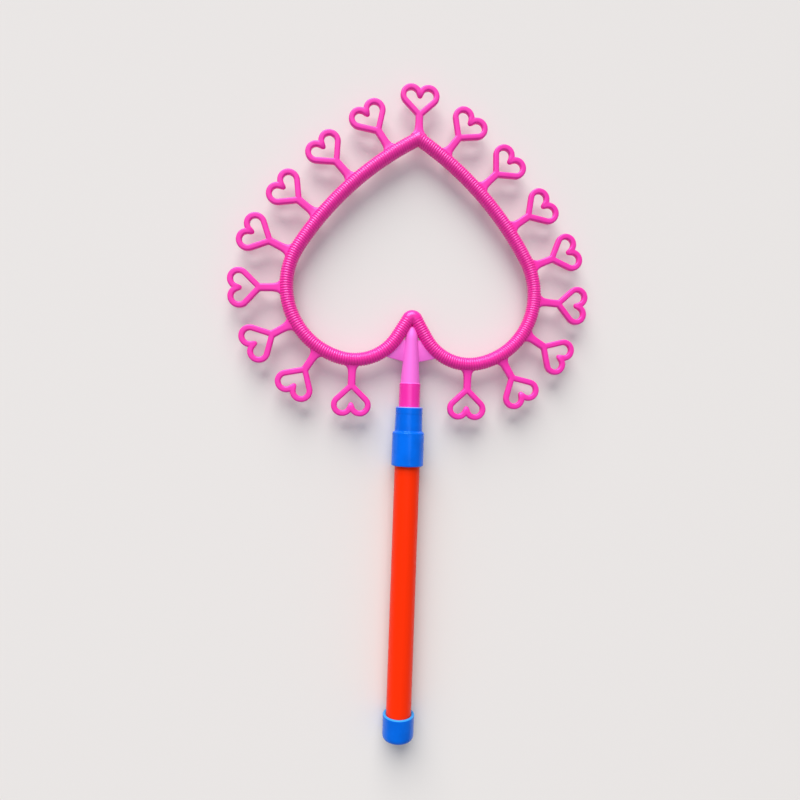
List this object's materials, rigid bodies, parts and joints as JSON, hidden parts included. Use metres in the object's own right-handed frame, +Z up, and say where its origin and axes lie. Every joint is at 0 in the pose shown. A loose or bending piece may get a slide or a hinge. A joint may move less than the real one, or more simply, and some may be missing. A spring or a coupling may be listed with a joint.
{
  "type": "bubble wand",
  "caption": "Long bubble wand: a ribbed heart loop ringed by small heart loops on a tapered stem, pushed into a stepped connector on a tube handle with an end cap.",
  "frame": {"origin": "on the table, below the middle of the whole wand", "axes": "+Y along the handle towards the head, +Z up from the table, +X across the head"},
  "size_m": [0.2314, 0.4164, 0.0205],
  "materials": {
    "pink_plastic": "gloss",
    "blue_plastic": "gloss",
    "orange_plastic": "gloss"
  },
  "bodies": {
    "handle": {"handle_tube": "orange_plastic"},
    "coupler": {"connector": "blue_plastic"},
    "head": {"heart_ring": "pink_plastic", "head_stem": "pink_plastic", "gusset_left": "pink_plastic", "gusset_right": "pink_plastic", "small_heart_01": "pink_plastic", "small_heart_02": "pink_plastic", "small_heart_03": "pink_plastic", "small_heart_04": "pink_plastic", "small_heart_05": "pink_plastic", "small_heart_06": "pink_plastic", "small_heart_07": "pink_plastic", "small_heart_08": "pink_plastic", "small_heart_09": "pink_plastic", "small_heart_10": "pink_plastic", "small_heart_11": "pink_plastic", "small_heart_12": "pink_plastic", "small_heart_13": "pink_plastic", "small_heart_14": "pink_plastic", "small_heart_15": "pink_plastic", "small_heart_16": "pink_plastic", "small_heart_17": "pink_plastic"},
    "cap": {"end_cap": "blue_plastic"}
  },
  "joints": [
    {"name": "coupler_pull", "type": "slide", "parent": "handle", "child": "coupler", "axis": [0, 1, 0], "range_m": [0, 0.022]},
    {"name": "head_pull", "type": "slide", "parent": "coupler", "child": "head", "axis": [0, 1, 0], "range_m": [0, 0.02]},
    {"name": "cap_pull", "type": "slide", "parent": "handle", "child": "cap", "axis": [0, -1, 0], "range_m": [0, 0.018]}
  ]
}
